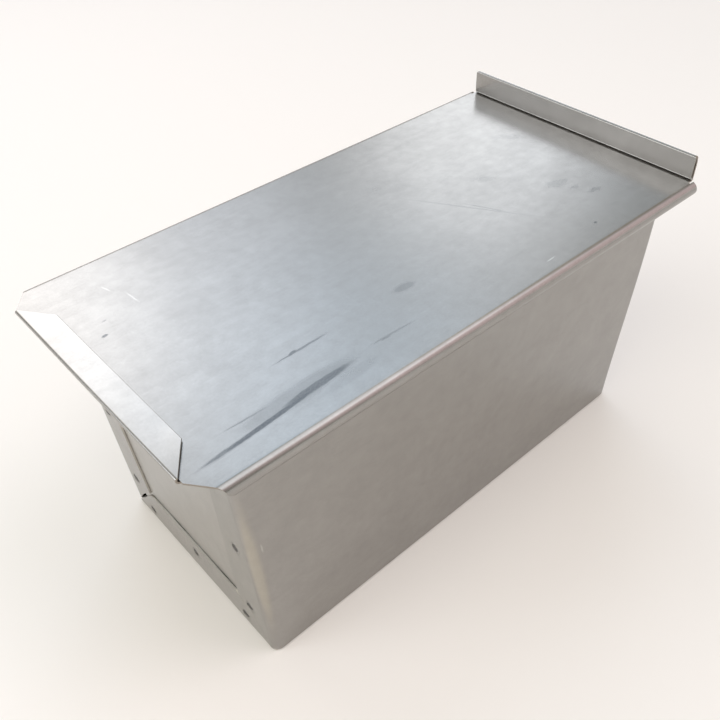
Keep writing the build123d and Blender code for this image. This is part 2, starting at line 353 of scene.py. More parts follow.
def keep_shape(piece):
    """Replaces a piece's mesh by what its modifiers make of it."""
    graph = bpy.context.evaluated_depsgraph_get()
    shape = bpy.data.meshes.new_from_object(piece.evaluated_get(graph))
    rough = piece.data
    piece.modifiers.clear()
    piece.data = shape
    shape.name = piece.name
    bpy.data.meshes.remove(rough)


def smooth_flats(piece):
    """Smooth shading that leaves flat faces flat beside their rounded edges."""
    piece.data.shade_smooth()
    flats = piece.modifiers.new("Flat faces", "WEIGHTED_NORMAL")
    flats.keep_sharp = True


def hand_over(piece, body, slot, *nodes):
    """A finished piece moves with its body and stands for its nodes."""
    smooth_flats(piece)
    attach(piece, body)
    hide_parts(*nodes)


def wall_profile(form):
    """One half of the trough's section, from the floor fold to the bend at the rim: (y, z)."""
    bend = form.pan.floor_radius
    points = arc((form.half_width(bend, bend), bend), bend - form.half_sheet,
                 -90, -math.degrees(form.side_lean))
    for low, high in ((points[-1][1], form.tab_top), (form.tab_top, form.rim_level)):
        points += [(form.half_width(z, form.half_sheet), z) for z in cells(low, high)[1:]]
    return points


def rail_profile(form):
    """From the bend at the rim out to the end of the bead: (y, z)."""
    centre = (form.half_width(form.rim_level, form.half_sheet) + form.rim_arc, form.rim_level)
    points = arc(centre, form.rim_arc, 180, 90)
    points += [(y, form.rim_middle) for y in cells(centre[0], form.roll_y)[1:]]
    return points + arc((form.roll_y, form.roll_z), form.bead_arc, 90, 90 - BEAD_TURN)[1:]


CORNER_FOOT = 0.33 * MM        # the corner folds end this far off the table
SLIT_OPEN_SHARES = {           # how far each corner's slit stayed open, by its end and side
    (-1, 1): 1.0,
    (-1, -1): 0.15,
    (1, 1): 0.6,
    (1, -1): 0.4,
}
BLUNT_SHARES = {(-1, -1): 0.9}  # how much of this corner's fold runs down past its slit


def slit_edge(form, corner, side, height):
    """Where a corner's slit has its edge at a height: side is 1 for the upright tab's edge and -1
    for the floor tab's."""
    pan = form.pan
    open_share = SLIT_OPEN_SHARES[corner]
    foot = Vector((form.half_width(pan.floor_tab_height) - pan.side_tab_low, pan.floor_tab_height))
    tip = Vector((form.half_width(0, BLUNT_SHARES.get(corner, 0) * pan.fold_radius), 0))
    run = (tip - foot).normalized()
    across = Vector((-run.y, run.x)) * side
    inner = foot + across * pan.slit_width / 2 * open_share
    outer = tip + across * pan.slit_mouth / 2 * open_share
    return mix(inner.x, outer.x, (height - inner.y) / (outer.y - inner.y))


def slit_height(form, corner, side, y):
    """The height at which that edge lies a given way from the middle of the pan."""
    low, high = 0, form.pan.floor_tab_height
    y_low, y_high = slit_edge(form, corner, side, low), slit_edge(form, corner, side, high)
    return mix(low, high, (y - y_low) / (y_high - y_low))


TAB_LIFT = 0.09 * MM           # how far the floor tab's edge stands off the panel between welds
TAB_LIFT_SPAN = 11 * MM
LIFT_MEAN = 0.35               # share of that which it has on the whole
LIFT_SWING = 1.3               # and how far it swings from there


def tab_lift(form, y, z):
    """How far a tab's free edge has sprung outward from the panel."""
    pan = form.pan
    rise = swell(z, form.weld.floor_middle, pan.floor_tab_height)
    uneven = LIFT_MEAN + LIFT_SWING * noise.noise(Vector((y / TAB_LIFT_SPAN, TAB_NOISE, 0)))
    return TAB_LIFT * rise * max(0.0, uneven)


def lay_trough_end(mesh, form, end, floor_shares, wall):
    """One end of the trough: the floor's tab, the two upright folds and their tabs."""
    pan, bend = form.pan, form.pan.floor_radius
    floor_half = form.half_width(bend, bend)
    rows = arc((form.half_length(bend, bend), bend), bend - form.half_sheet,
               -90, -math.degrees(form.end_lean))
    rows.insert(0, (form.wall_end(0), form.half_sheet))
    low = rows[-1][1]
    corner_low = pan.floor_tab_height - pan.floor_tab_corner
    corner = arc((0, corner_low), pan.floor_tab_corner, 0, 90)
    heights = cells(low, corner_low)[1:] + [z for across, z in corner[1:]]
    rows += [(form.half_length(z, form.half_sheet), z) for z in heights]
    trims = [0] * (len(rows) - len(corner) + 1)
    trims += [pan.floor_tab_corner - across for across, z in corner[1:]]
    patch = []
    for (x, z), trim in zip(rows, trims):
        row = []
        for share in floor_shares:
            half = slit_edge(form, (end, 1 if share > 0 else -1), -1, max(z, low))
            half = mix(floor_half, half, swell(z, form.half_sheet, low)) - trim
            row.append((end * (x + tab_lift(form, share * half, z)), share * half, z))
        patch.append(row)
    lay_patch(mesh, patch)

    fold_arc = pan.fold_radius - form.half_sheet
    foot_y = form.half_width(pan.floor_tab_height) - pan.side_tab_low
    head_y = form.half_width(pan.pan_height) - pan.side_tab_high
    for side in (-1, 1):
        fold_foot = slit_height(form, (end, side), 1, form.half_width(0, pan.fold_radius))
        inner_foot = slit_height(form, (end, side), 1, foot_y)
        gape = pan.slit_bulge * SLIT_OPEN_SHARES[end, side]
        fold, tab = [], []
        for y, height in wall:
            share = (height - wall[0][1]) / (wall[-1][1] - wall[0][1])
            tuck = max(0, form.half_width(height, form.half_sheet) - y)
            row = []
            for step in spread(0, 1, ARC_STEPS + 1):
                turn = math.radians(90 * (1 - step))
                z = mix(mix(wall[0][1], fold_foot, step ** 2), form.tab_top, share)
                x = mix(form.wall_end(height), form.wall_end(z), step)
                x += (fold_arc - tuck * (1 - step) ** 2) * math.cos(turn)
                across = form.half_width(z, pan.fold_radius) + (fold_arc - tuck) * math.sin(turn)
                row.append((end * x, side * across, z))
            fold.append(row)
            outer_z = mix(fold_foot, form.tab_top, share)
            inner_z = mix(inner_foot, form.tab_top, share)
            outer_y = form.half_width(outer_z, pan.fold_radius)
            up = (inner_z - pan.floor_tab_height) / (pan.pan_height - pan.floor_tab_height)
            row = []
            for across in spread(0, 1, TAB_STEPS):
                y_here = mix(outer_y, mix(foot_y, head_y, up), across)
                z = mix(outer_z, inner_z, across) + 4 * across * (1 - across) * (1 - share) * gape
                row.append((end * form.half_length(z, form.half_sheet), side * y_here, z))
            tab.append(row)
        lay_patch(mesh, fold)
        lay_patch(mesh, tab)


def fold_trough(form, materials):
    """The trough is one sheet: floor, long walls, rails and three tabs round each end."""
    pan = form.pan
    mesh = bmesh.new()
    wall = wall_profile(form)
    floor_half = wall[0][0]
    floor = [(y, form.half_sheet) for y in cells(-floor_half, floor_half)]
    section = [(-y, z) for y, z in reversed(wall)] + floor[1:-1] + wall
    shares = spread(-1, 1, round(2 * form.wall_end(0) / SHEET_CELL) + 1)
    lay_patch(mesh, [[(s * form.wall_end(z), y, z) for s in shares] for y, z in section])

    reach = form.wall_end(form.rim_level)
    overrun = cells(reach, pan.rail_end)[1:]
    along = [-x for x in reversed(overrun)] + [s * reach for s in shares] + overrun
    for side in (-1, 1):
        lay_patch(mesh, [[(x, side * y, z) for x in along] for y, z in rail_profile(form)])

    floor_shares = [y / floor_half for y, z in floor]
    upright = [(y, z) for y, z in wall if CORNER_FOOT <= z <= form.tab_top]
    for end in (-1, 1):
        lay_trough_end(mesh, form, end, floor_shares, upright)
    return sheet_piece("folded_trough_sheet", mesh, form, pan_bend, materials, pan.edge_break)


PANEL_SIDE_ROOM = 0.35 * MM    # how far the panel's sides reach into the curve of the corner folds
PANEL_FOOT = 1.0 * MM          # its lower edge is this far off the table
PANEL_CORNER = 16.0 * MM       # cut off each of its lower corners, behind the slits


def panel_profile(form, rim):
    """An end panel from its foot to the end of its rim: (x, z, half its width there)."""
    pan = form.pan
    inset = pan.sheet + pan.seam_gap + form.half_sheet
    profile = [
        (form.half_length(z, inset), z,
         form.half_width(z, pan.fold_radius) + PANEL_SIDE_ROOM - max(0, PANEL_CORNER - z))
        for z in cells(PANEL_FOOT, form.rim_level)
    ]
    centre = (form.half_length(form.rim_level, inset) + form.rim_arc, form.rim_level)
    bend = arc(centre, form.rim_arc, 180, 90)[1:]
    return profile + [(x, z, profile[-1][2]) for x, z in bend] + rim(form, centre[0])


LIP_RISE = 0.42 * MM           # the lip's right-hand corner stands this far off the lid
LIP_RISE_SPAN = 9 * MM
FOLD_RISE = 0.25               # share of that at its fold
FOLD_LEAN = 0.5                # how far the fold leans back under itself for its height


def lip_rim(form, start):
    """The near panel's rim: out, round the slot that the lid's edge enters, and back as the lip."""
    pan, half = form.pan, form.lip_half
    # The front of the leaning fold stays where an upright fold's would be.
    fold_x = form.lip_fold_x + form.slot_arc * (1 + FOLD_LEAN - math.sqrt(1 + FOLD_LEAN ** 2))
    foot_x = fold_x - FOLD_LEAN * 2 * form.slot_arc
    edge_x = -NEAR_BOX[0].x - pan.lip_width
    slot_middle = pan.pan_height + form.slot_arc - form.half_sheet
    level = slot_middle + form.slot_arc
    out = [(x, form.rim_middle, half) for x in cells(start, foot_x)[1:]]
    turn = arc((fold_x, slot_middle), form.slot_arc, -90, 90)[1:]
    fold = [(x - FOLD_LEAN * (level - z), z, half) for x, z in turn]
    back = [
        (x, level, mix(half, half - pan.lip_mitre, (fold_x - x) / (fold_x - edge_x)))
        for x in cells(fold_x, edge_x)[1:]
    ]
    return out + fold + back


def far_rim(form, start):
    """The far panel's rim: turned out a little and folded flat under itself."""
    hem_x = FAR_BOX[1].x - form.hem_arc - form.half_sheet
    under_z = form.rim_middle - 2 * form.hem_arc
    points = [(x, form.rim_middle) for x in cells(start, hem_x)[1:]]
    points += arc((hem_x, form.rim_middle - form.hem_arc), form.hem_arc, 90, -90)[1:]
    points += [(x, under_z) for x in cells(hem_x, FAR_BOX[1].x - form.pan.far_rim_hem)[1:]]
    return [(x, z, form.lip_half) for x, z in points]


def lip_spring(point, form):
    """The welded sheets' bend, and the spring in the lip's right-hand corner."""
    push = pan_bend(point, form)
    if point.z > form.lid_middle:
        towards_edge = swell(-point.x, form.lip_fold_x, -NEAR_BOX[0].x - form.pan.lip_width)
        rise_from = form.lip_half - form.pan.lip_mitre - LIP_RISE_SPAN
        towards_end = swell(-point.y, rise_from, form.lip_half)
        push.z += LIP_RISE * mix(FOLD_RISE, 1, towards_edge) * towards_end
    return push


def fold_end_panel(name, form, end, rim, bend, materials):
    mesh = bmesh.new()
    profile = panel_profile(form, rim)
    widest = max(half for x, z, half in profile)
    shares = spread(-1, 1, round(2 * widest / SHEET_CELL) + 1)
    lay_patch(mesh, [[(end * x, share * half, z) for share in shares] for x, z, half in profile])
    return sheet_piece(name, mesh, form, bend, materials, form.pan.edge_break)


def lay_discs(mesh, form, end, profile):
    """Turns a profile round each weld's axis. The profile holds (radius, depth below the tab)."""
    axis = Vector((end, 0, -form.end_slope)).normalized()
    sideways = Vector((0, 1, 0))
    upward = axis.cross(sideways)
    for y, z in form.weld_places(end):
        centre = Vector((end * form.half_length(z), y, z))
        centre += pan_bend(centre, form)
        rings = []
        for radius, depth in profile:
            ring = []
            for turn in spread(0, 2 * math.pi, WELD_SIDES + 1):
                out = sideways * math.cos(turn) + upward * math.sin(turn)
                ring.append(centre - axis * depth + out * radius)
            rings.append(ring)
        lay_patch(mesh, rings)
    bmesh.ops.remove_doubles(mesh, verts=mesh.verts, dist=WELD_JOIN)
    bmesh.ops.recalc_face_normals(mesh, faces=mesh.faces)


BURNT_AND_SHADED_SHARE = 0.7              # how far out from its middle a mark is burnt and painted dark as shade of its dent
WELD_LAP = 0.05 * MM           # the mark's rim laps the sheet round it
WELD_RIM = 0.02 * MM           # and stands this far proud of it
# The dent, as shares of the mark's radius and of its depth.
DENT_SHARES = [(0, 1.0), (0.55, 1.08), (0.8, 0.75)]
WELD_RIM_SHARE = 0.95          # how far out the rim stands highest


def weld_profile(form):
    """A spot weld from the middle of its outer dent to the middle of its inner one."""
    weld = form.weld
    radius = weld.mark_radius
    inner = 2 * form.pan.sheet + form.pan.seam_gap
    dent = [(out * radius, deep * weld.dent) for out, deep in DENT_SHARES]
    dent += [(WELD_RIM_SHARE * radius, -WELD_RIM), (radius + WELD_LAP, 0)]
    return dent + [(r, inner - depth) for r, depth in reversed(dent)]


def weld_marks(name, form, end, materials):
    """The marks, their burnt middles, painted dark as shade of the dent too, in the first material and
    the rings round them in the second.
    """
    mesh = bmesh.new()
    lay_discs(mesh, form, end, weld_profile(form))
    places = [Vector((y, z)) for y, z in form.weld_places(end)]
    for face in mesh.faces:
        middle = face.calc_center_median()
        away = min((Vector((middle.y, middle.z)) - place).length for place in places)
        face.material_index = int(away > BURNT_AND_SHADED_SHARE * form.weld.mark_radius)
    return new_object(name, mesh, materials)


def open_for_welds(piece, form, ends):
    """Cuts the round holes that the weld marks sit in."""
    mesh = bmesh.new()
    radius = form.weld.mark_radius
    reach = 2 * form.pan.sheet
    profile = [(0, -reach), (radius, -reach), (radius, 2 * reach), (0, 2 * reach)]
    for end in ends:
        lay_discs(mesh, form, end, profile)
    cutter = new_object("weld_cutter", mesh)
    cut = piece.modifiers.new("Weld holes", "BOOLEAN")
    cut.object = cutter
    cut.operation = "DIFFERENCE"
    cut.solver = "EXACT"
    keep_shape(piece)
    bpy.data.objects.remove(cutter)


PLY_TUCK_REACH = 2.2 * MM      # height over which the hem's edge is pressed back


def strip_profile(form):
    """The pull strip from the lid's notches to the hem's free edge: (x, z, half its width)."""
    lid, pan = form.lid, form.pan
    half = form.roll_y - lid.strip_inset
    back_x = LID_BOX[1].x - form.half_sheet
    radius = lid.strip_bend + form.half_sheet
    start = back_x - radius
    notch_x = LID_BOX[1].x - 2 * form.hem_arc - pan.sheet - lid.strip_bend - lid.notch_depth
    hem_z = LID_BOX[1].z - form.hem_arc - form.half_sheet
    points = [(x, form.lid_middle) for x in spread(notch_x, start, NOTCH_STEPS)]
    points += arc((start, form.lid_middle + radius), radius, -90, 0)[1:]
    points += [(back_x, z) for z in cells(points[-1][1], hem_z)[1:]]
    points += arc((back_x - form.hem_arc, hem_z), form.hem_arc, 0, 180)[1:]
    front_x = back_x - 2 * form.hem_arc
    ply_foot = form.lid_top + lid.foot_gap
    front = [
        (front_x + lid.ply_tuck * (1 - swell(z, ply_foot, ply_foot + PLY_TUCK_REACH)), z)
        for z in spread(hem_z, ply_foot, PLY_STEPS)[1:]
    ]
    profile = []
    top = LID_BOX[1].z
    for x, z in points:
        into = max(0, z + form.half_sheet - (top - lid.strip_corner))
        corner = lid.strip_corner - math.sqrt(max(0, lid.strip_corner ** 2 - into ** 2))
        profile.append((x, z, half - corner))
    return profile + [(x, z, half - lid.ply_setback) for x, z in front]


def lid_front(form, y, z):
    """Where the lid's sheet begins, for a point of its section."""
    lid = form.lid
    edge = -form.lip_fold_x
    cut_from = form.lid_half - lid.corner_cut
    slant = max(0, (abs(y) - cut_from) / lid.corner_cut) * lid.roll_setback
    if z < form.roll_z:
        return edge + lid.roll_setback + lid.roll_backcut * (form.roll_z - z) / lid.roll_radius
    return edge + slant


def fold_lid(form, materials):
    """The lid is one sheet: flat top, two rolled edges, cut front corners and the pull strip."""
    lid = form.lid
    mesh = bmesh.new()
    strip = strip_profile(form)
    strip_half = strip[0][2]
    notch_x = strip[0][0]
    tongue = form.lid_half - lid.corner_cut
    flat = [(y, form.lid_middle) for y in cells(-tongue, tongue)]
    shoulder = [(y, form.lid_middle) for y in cells(tongue, strip_half)[1:]]
    flat = [(-y, z) for y, z in reversed(shoulder)] + flat + shoulder

    notch_end = strip_half + lid.notch_width
    notch_turn = 90 - math.degrees(math.acos((notch_end - form.roll_y) / form.roll_arc))
    notch = [(strip_half, form.lid_middle)]
    notch += arc((form.roll_y, form.roll_z), form.roll_arc, 90, 90 - notch_turn)
    roll = arc((form.roll_y, form.roll_z), form.roll_arc, 90 - notch_turn, 90 - ROLL_TURN)

    steps = spread(0, 1, round((notch_x + form.lip_fold_x) / SHEET_CELL) + 1)

    def along(y, z):
        return [(mix(lid_front(form, y, z), notch_x, step), y, z) for step in steps]

    lay_patch(mesh, [along(y, z) for y, z in flat])
    tail = cells(notch_x, lid.roll_far)[1:]
    for side in (-1, 1):
        lay_patch(mesh, [along(side * y, z) for y, z in notch])
        lay_patch(mesh, [along(side * y, z) + [(x, side * y, z) for x in tail] for y, z in roll])
    shares = [y / strip_half for y, z in flat]
    lay_patch(mesh, [[(x, share * half, z) for share in shares] for x, z, half in strip])
    return sheet_piece("sliding_lid_sheet", mesh, form, lid_bend, materials, lid.edge_break)


# Finishes


def add(tree, kind, values, **settings):
    """Adds a shader node. The settings are its own, and the values go to its inputs."""
    node = tree.nodes.new("ShaderNode" + kind)
    for name, value in settings.items():
        setattr(node, name, value)
    feed(tree, node, values)
    return node


def feed(tree, node, values):
    """Gives a node's inputs their values: numbers, other nodes' outputs, or other nodes, whose first
    output is taken."""
    for socket, value in values.items():
        if isinstance(value, bpy.types.Node):
            value = value.outputs[0]
        if isinstance(value, bpy.types.NodeSocket):
            tree.links.new(value, node.inputs[socket])
        else:
            node.inputs[socket].default_value = value


def new_material(name):
    """A material, its nodes and its shader, which its output shows."""
    material = bpy.data.materials.new(name)
    material.use_nodes = True
    return material, material.node_tree, material.node_tree.nodes["Principled BSDF"]


def rgba(values):
    return (*values, 1)


# How the surface varies: the pattern's size in millimetres along X, Y and Z, its detail, how far it
# darkens the metal, how far it roughens it, and how high it stands. The real grain is a tenth as
# coarse and wouldn't show.
MICRON = MM / 1000
SHEET_PATTERNS = {
    "clouds in the coating": ((14, 14, 14), 3.0, 0.4, 0.05, 0),
    "blotches": ((3.6, 3.6, 3.6), 3.0, 0.4, 0.03, 0),
    "wiping smears": ((10, 2.6, 5), 3.0, 0.2, 0.02, 0),
    "roller grain": ((0.8, 0.8, 0.8), 1.0, 0.25, 0, 0),
    "rolling lines": ((45, 0.6, 0.6), 2.0, 0.12, 0, 0),
    "ripples": ((12, 12, 12), 1.0, 0, 0, 6 * MICRON),
}
SHEET_TONE = 0.5               # halfway from the light colour to the dark one
SHEET_ROUGHNESS = 0.255
CUT_ROUGHNESS = 0.4
WELD_ROUGHNESS = 0.45
WELD_GRIT = (0.35, 0.65)       # where in the noise a weld's burnt colour ends and its grey one begins
MARK_ROUGHNESS = 0.12          # a dark rubbed mark is rougher by this
MARK_DEPTH = 0.35 * MM         # marks stay on the face that they were rubbed into
FOLD_HIGHLIGHT_DEPTH = 3.0 * MM      # the painted highlight on a fold goes round it
MARK_GRAIN = 0.4 * MM          # size of the gaps in a rubbed mark
MARK_GAPS = (0.42, 0.6)        # where in the noise such a gap ends and the solid mark begins
MARK_THINNEST = 0.75           # strength of a mark inside its gaps
MARK_EDGE = 0.35               # share of the way to its middle over which a mark fades in
MARK_SWAY = 0.5 * MM           # how far a mark's outline wanders
PATCH_SWAY = 4.0 * MM          # and a patch's
SWAY_SPAN = 2.2 * MM           # length over which it wanders out and back

# Marks: where the middle is along X and Y on the lid, length, width, turn in degrees and strength.
RUBBED_MARKS = {
    "long smear": (-77.5, -42.2, 60, 2.6, 4.4, 0.95),
    "smear's tail": (-91, -43.0, 28, 1.9, 4, 0.75),
    "smear's head": (-61, -40.4, 42, 4.4, 3, 0.85),
    "smear's shade": (-66, -39.5, 64, 11, 2, 0.3),
    "shade beyond it": (-52, -43.6, 34, 7, 4, 0.16),
    "line beside it": (-81, -37.7, 24, 1.0, -1.5, 0.5),
    "rub line": (-55, -26.2, 30, 1.3, 1, 0.6),
    "dot in the rub line": (-58, -26, 5, 1.7, 8, 0.8),
    "faint rub line": (-32.5, -38.6, 26, 1.2, -2, 0.4),
    "its knot": (-35.2, -38.8, 6, 1.3, -2, 0.5),
    "soft patch": (-15.5, -25.6, 13, 5.0, -4, 0.4),
    "near dot": (-91.8, 15.7, 3.4, 1.7, 10, 0.75),
    "faint near dot": (-88.7, 21.8, 2.6, 1.2, 10, 0.3),
    "far dot": (53.5, -43.3, 2.4, 1.6, 0, 0.7),
    "cross scratch": (31.2, -9.6, 66, 0.9, -58, 0.22),
    "cross scratch, deeper": (34.5, -12.5, 24, 0.8, -64, 0.3),
}
# The same for patches of them, which have no outline of their own.
RUBBED_PATCHES = {
    "far patch": (64.3, -19.2, 15, 7.0, -13, 0.35),
    "far dash": (66.6, -24.7, 8, 3.2, -11, 0.4),
    "last dash": (69.9, -30.8, 9, 3.6, -14, 0.55),
    "specks": (48.3, 0.1, 14, 6.0, -30, 0.2),
    "corner specks": (78, 15, 22, 6.0, -44, 0.2),
}
# The same for bright scratches.
LID_SCRATCHES = {
    "short": (-80.8, 35.1, 6, 0.8, -77, 0.3),
    "long": (-77, 26.1, 10, 0.9, -85, 0.28),
    "far": (26.9, -46.4, 6, 0.7, 0, 0.5),
}
# On the long wall they go by X and Z, and its leaning face is taken where they are.
WALL_MARK_HEIGHT = 64 * MM
# A painted highlight down the near right-hand fold, where its curve catches the light.
FOLD_HIGHLIGHTS = {
    "near right-hand fold": (-90.4, 44, 104, 9.0, -87, 0.34),
}
WALL_SCRATCHES = {
    "upper": (-88.9, 70.9, 6, 0.9, -80, 0.6),
    "lower": (-87.1, 57.1, 8, 0.9, -83, 0.5),
}


def mark_strength(tree, place, marks, level, stand, depth=MARK_DEPTH, sway=MARK_SWAY,
                  thinnest=MARK_THINNEST):
    """Where a table's marks are, as one value from 0 to 1. stand turns them onto a long wall."""
    gaps = add(tree, "TexNoise", {"Vector": place, "Scale": 1 / MARK_GRAIN, "Detail": 2.0})
    solid = add(tree, "MapRange", {0: gaps, 1: MARK_GAPS[0], 2: MARK_GAPS[1], 3: thinnest})
    wander = add(tree, "TexNoise", {"Vector": place, "Scale": 1 / SWAY_SPAN, "Detail": 3.0})
    centred = add(tree, "VectorMath", {0: wander.outputs["Color"], 1: (0.5, 0.5, 0.5)},
                  operation="SUBTRACT")
    reach = (sway, 0, sway) if stand else (sway, sway, 0)
    place = add(tree, "VectorMath", {0: centred, 1: reach, 2: place}, operation="MULTIPLY_ADD")
    total = 0.0
    for x, other, length_mm, width_mm, turn, strength in marks.values():
        middle = (x * MM, level, other * MM) if stand else (x * MM, other * MM, level)
        rotation = (math.radians(90), -math.radians(turn), 0) if stand else (0, 0, math.radians(turn))
        size = (length_mm / 2 * MM, width_mm / 2 * MM, depth)
        mark = add(tree, "Mapping", {"Vector": place, "Location": middle, "Rotation": rotation,
                                     "Scale": size}, vector_type="TEXTURE")
        fade = add(tree, "TexGradient", {"Vector": mark}, gradient_type="QUADRATIC_SPHERE")
        edge = add(tree, "MapRange", {0: fade.outputs["Fac"], 2: MARK_EDGE, 4: strength},
                   interpolation_type="SMOOTHSTEP")
        total = add(tree, "Math", {0: edge, 1: total}, operation="MAXIMUM")
    return add(tree, "Math", {0: total, 1: solid}, operation="MULTIPLY")


def rolled_sheet(name, finish, light, dark, rubs=None, patches=None, scratches=None, shine=None,
                 level=0, stand=False):
    """Aluminised steel, cold rolled, hot dipped and folded without polishing: a dull grey silver that
    smears what it reflects, with faint clouds and wiping smears in the coating."""
    material, tree, shader = new_material("aluminised_steel_" + name)
    place = add(tree, "TexCoord", {}).outputs["Object"]
    levels = [SHEET_TONE, SHEET_ROUGHNESS, 0]
    for size, detail, *amounts in SHEET_PATTERNS.values():
        scaled = add(tree, "Mapping", {"Vector": place, "Scale": [1 / (side * MM) for side in size]})
        field = add(tree, "TexNoise", {"Vector": scaled, "Scale": 1.0, "Detail": detail})
        swing = add(tree, "Math", {0: field, 1: 0.5}, operation="SUBTRACT")
        for i, amount in enumerate(amounts):
            if amount:
                levels[i] = add(tree, "Math", {0: swing, 1: amount, 2: levels[i]},
                                operation="MULTIPLY_ADD")
    tone, rough, height = levels
    coats = [(tone, dark)]
    if rubs:
        rubbed = mark_strength(tree, place, rubs, level, stand)
        patchy = mark_strength(tree, place, patches, level, stand, sway=PATCH_SWAY, thinnest=0)
        rubbed = add(tree, "Math", {0: rubbed, 1: patchy}, operation="MAXIMUM")
        rough = add(tree, "Math", {0: rubbed, 1: MARK_ROUGHNESS, 2: rough}, operation="MULTIPLY_ADD")
        coats.append((rubbed, finish.scuff))
    # Painted highlight along a fold.
    if shine:
        shining = mark_strength(tree, place, shine, level, stand, FOLD_HIGHLIGHT_DEPTH)
        coats.append((shining, finish.fold_highlight))
    if scratches:
        coats.append((mark_strength(tree, place, scratches, level, stand), finish.scratch))
    body = rgba(light)
    for share, over in coats:
        body = add(tree, "Mix", {0: share, 6: body, 7: rgba(over)}, data_type="RGBA").outputs[2]
    bump = add(tree, "Bump", {"Strength": 1.0, "Distance": 1.0, "Height": height})
    feed(tree, shader, {"Base Color": body, "Metallic": 1.0, "Roughness": rough, "Normal": bump})
    return material


def cut_edge(name, tone):
    """The sheet was coated before it was cut, so its edges are bare steel: a thin line of another tone
    round each piece, darker and browner on the lid and panels as painted shade, and lighter on the
    tabs as a painted highlight."""
    material, tree, shader = new_material("cut_steel_" + name)
    feed(tree, shader, {"Base Color": rgba(tone), "Metallic": 1.0, "Roughness": CUT_ROUGHNESS})
    return material


def weld_finish(finish):
    """Where the electrodes pressed, the coating is burnt to a dull, gritty brownish grey, made darker
    as painted shade of the dent.
    """
    material, tree, shader = new_material("welded_aluminised_steel")
    place = add(tree, "TexCoord", {}).outputs["Object"]
    grit = add(tree, "TexNoise", {"Vector": place, "Scale": 1 / MARK_GRAIN, "Detail": 3.0})
    tone = add(tree, "MapRange", {0: grit, 1: WELD_GRIT[0], 2: WELD_GRIT[1]})
    body = add(tree, "Mix", {0: tone, 6: rgba(finish.weld), 7: rgba(finish.scuff)}, data_type="RGBA")
    feed(tree, shader, {"Base Color": body.outputs[2], "Metallic": 1.0, "Roughness": WELD_ROUGHNESS})
    return material


# Studio

EYE = Vector((-154.4, -166.8, 249.1)) * MM
AIM = Vector((-10.4, 1.5, 50.0)) * MM
LENS = 41.66                   # for a 36 mm sensor
ROLL = -1.83                   # degrees that the camera is turned about its own axis
FLOOR_SIZE = 12.0              # metres
FLOOR_ROUGHNESS = 0.9
FLOOR_GLOSS = 0.1              # its specular level

PLAIN = (0.97, 1.0, 1.06)
WARM = (1.06, 1.0, 0.88)
AMBER = (1.4, 1.0, 0.6)
COOL = (0.75, 1.0, 1.3)
SKYLIGHT = (0.92, 1.0, 1.14)
PINK = (1.2, 0.9, 0.95)

# Each soft light in the sky: azimuth from +X, elevation, its core and its reach in degrees, how much
# it adds to the sky, and its tint.
SKY_BASE = (0.325, 0.32, 0.285)
SKY_LIGHTS = {
    "far": (40.5, 25, 2, 11.5, 2.45, PLAIN),
    "far one's edge": (28, 27, 2, 13, 0.3, COOL),
    "left": (68, 32, 2, 18, 1.42, SKYLIGHT),
    "left one's edge": (84, 32, 2, 18, 0.5, AMBER),
    "back left": (141, 26, 4, 16, 2.1, PLAIN),
    "near left": (158, 27, 4, 18, 2.1, PLAIN),
    "high near left": (170, 36, 6, 26, 0.65, WARM),
    "high far": (22, 50, 3, 20, 0.27, AMBER),
    "high middle": (46, 50, 3, 20, 1.0, COOL),
    "high left": (74, 52, 3, 22, 0.48, PLAIN),
    "right": (-38, 34, 8, 34, 0.75, PINK),
    "top right": (-32, 65, 4, 28, 1.6, PLAIN),
}
HORIZON = (0.61, 0.6, 0.57)    # added where the sky meets the floor
HORIZON_TOP = (6, 14)          # degrees up where that starts to fade and where it ends
# Each lamp: azimuth, elevation, distance, width, height, power in watts, and tint.
LAMPS = {
    "back": (95, 35, 0.8, 0.5, 0.4, 0.6, PLAIN),
    "near": (-150, 55, 0.9, 0.7, 0.6, 2.5, WARM),
}


def towards(azimuth, elevation):
    across, up = math.radians(azimuth), math.radians(elevation)
    return Vector((math.cos(across) * math.cos(up), math.sin(across) * math.cos(up), math.sin(up)))


def light_sky():
    """A pale sky with soft patches of light, which is what the metal shows."""
    world = bpy.data.worlds.new("studio_sky")
    world.use_nodes = True
    bpy.context.scene.world = world
    tree = world.node_tree
    way = add(tree, "TexCoord", {}).outputs["Generated"]
    glows = []
    for azimuth, elevation, core, reach, strength, tint in SKY_LIGHTS.values():
        near = add(tree, "VectorMath", {0: way, 1: towards(azimuth, elevation)},
                   operation="DOT_PRODUCT").outputs["Value"]
        limits = [math.cos(math.radians(angle)) for angle in (reach, core)]
        glows.append((near, limits, [strength * channel for channel in tint]))
    up = add(tree, "SeparateXYZ", {0: way}).outputs[2]
    glows.append((up, [math.sin(math.radians(angle)) for angle in HORIZON_TOP[::-1]], HORIZON))
    tone = SKY_BASE
    for value, (start, full), brightness in glows:
        share = add(tree, "MapRange", {0: value, 1: start, 2: full}, interpolation_type="SMOOTHSTEP")
        tone = add(tree, "VectorMath", {0: share, 1: brightness, 2: tone}, operation="MULTIPLY_ADD")
    feed(tree, tree.nodes["Background"], {"Color": tone})


def set_in_place(data, location, turn):
    """Puts a lamp or the camera into the scene."""
    thing = bpy.data.objects.new(data.name, data)
    thing.location = location
    thing.rotation_mode = "QUATERNION"
    thing.rotation_quaternion = turn
    bpy.context.scene.collection.objects.link(thing)
    return thing


def hang_lamps():
    for name, (azimuth, elevation, distance, width, height, power, tint) in LAMPS.items():
        data = bpy.data.lights.new("studio_lamp_" + name, "AREA")
        data.shape = "RECTANGLE"
        data.size = width
        data.size_y = height
        data.energy = power
        data.color = tint
        way = towards(azimuth, elevation)
        set_in_place(data, AIM + way * distance, (-way).to_track_quat("-Z", "Y"))


